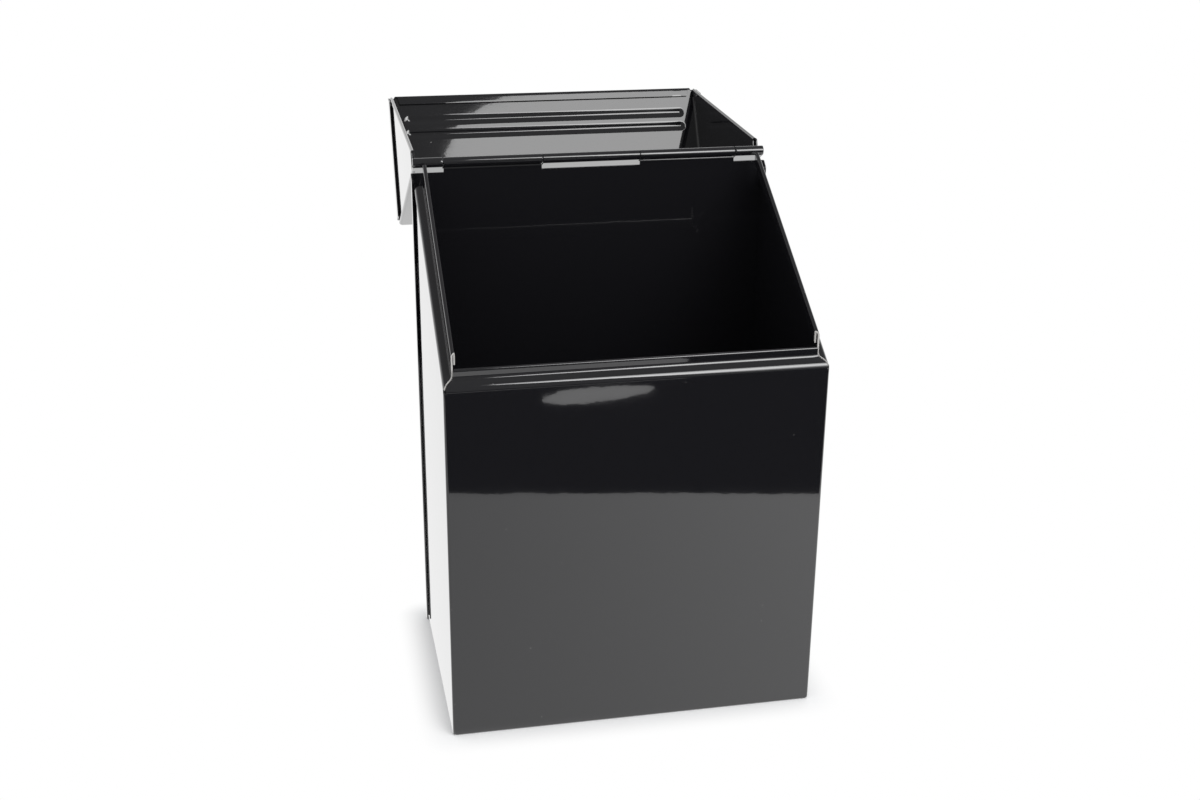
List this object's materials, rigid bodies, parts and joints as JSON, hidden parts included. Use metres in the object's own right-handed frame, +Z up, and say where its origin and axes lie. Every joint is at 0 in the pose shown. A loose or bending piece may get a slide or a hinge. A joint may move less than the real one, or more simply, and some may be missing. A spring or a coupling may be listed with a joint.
{
  "type": "kindling box",
  "caption": "Tall folded sheet-steel box with a slanted, collared mouth and a wedge-shaped lid that turns on a full-width rolled hinge; shown with the lid thrown back.",
  "frame": {"origin": "middle of the underside, on the surface that the box stands on, midway between the front face and the back panel's outer face", "axes": "+X to the object's left as it faces forward (the viewer's right), +Y to the back, where the hinge is, +Z up; the box's front faces -Y"},
  "size_m": [0.1822, 0.2589, 0.2608],
  "materials": {
    "enamel": "gloss black enamel on folded sheet",
    "wire": "plain drawn wire"
  },
  "bodies": {
    "box": {"body_shell": "enamel", "back_panel": "enamel", "base_pan": "enamel", "hinge_pin": "wire"},
    "lid": {"lid_cover": "enamel", "lid_front": "enamel"}
  },
  "joints": [
    {"name": "lid_hinge", "type": "hinge", "parent": "box", "child": "lid", "pos_m": [0, 0.0596, 0.25445], "axis": [1, 0, 0], "range_deg": [0, 208.8]}
  ]
}
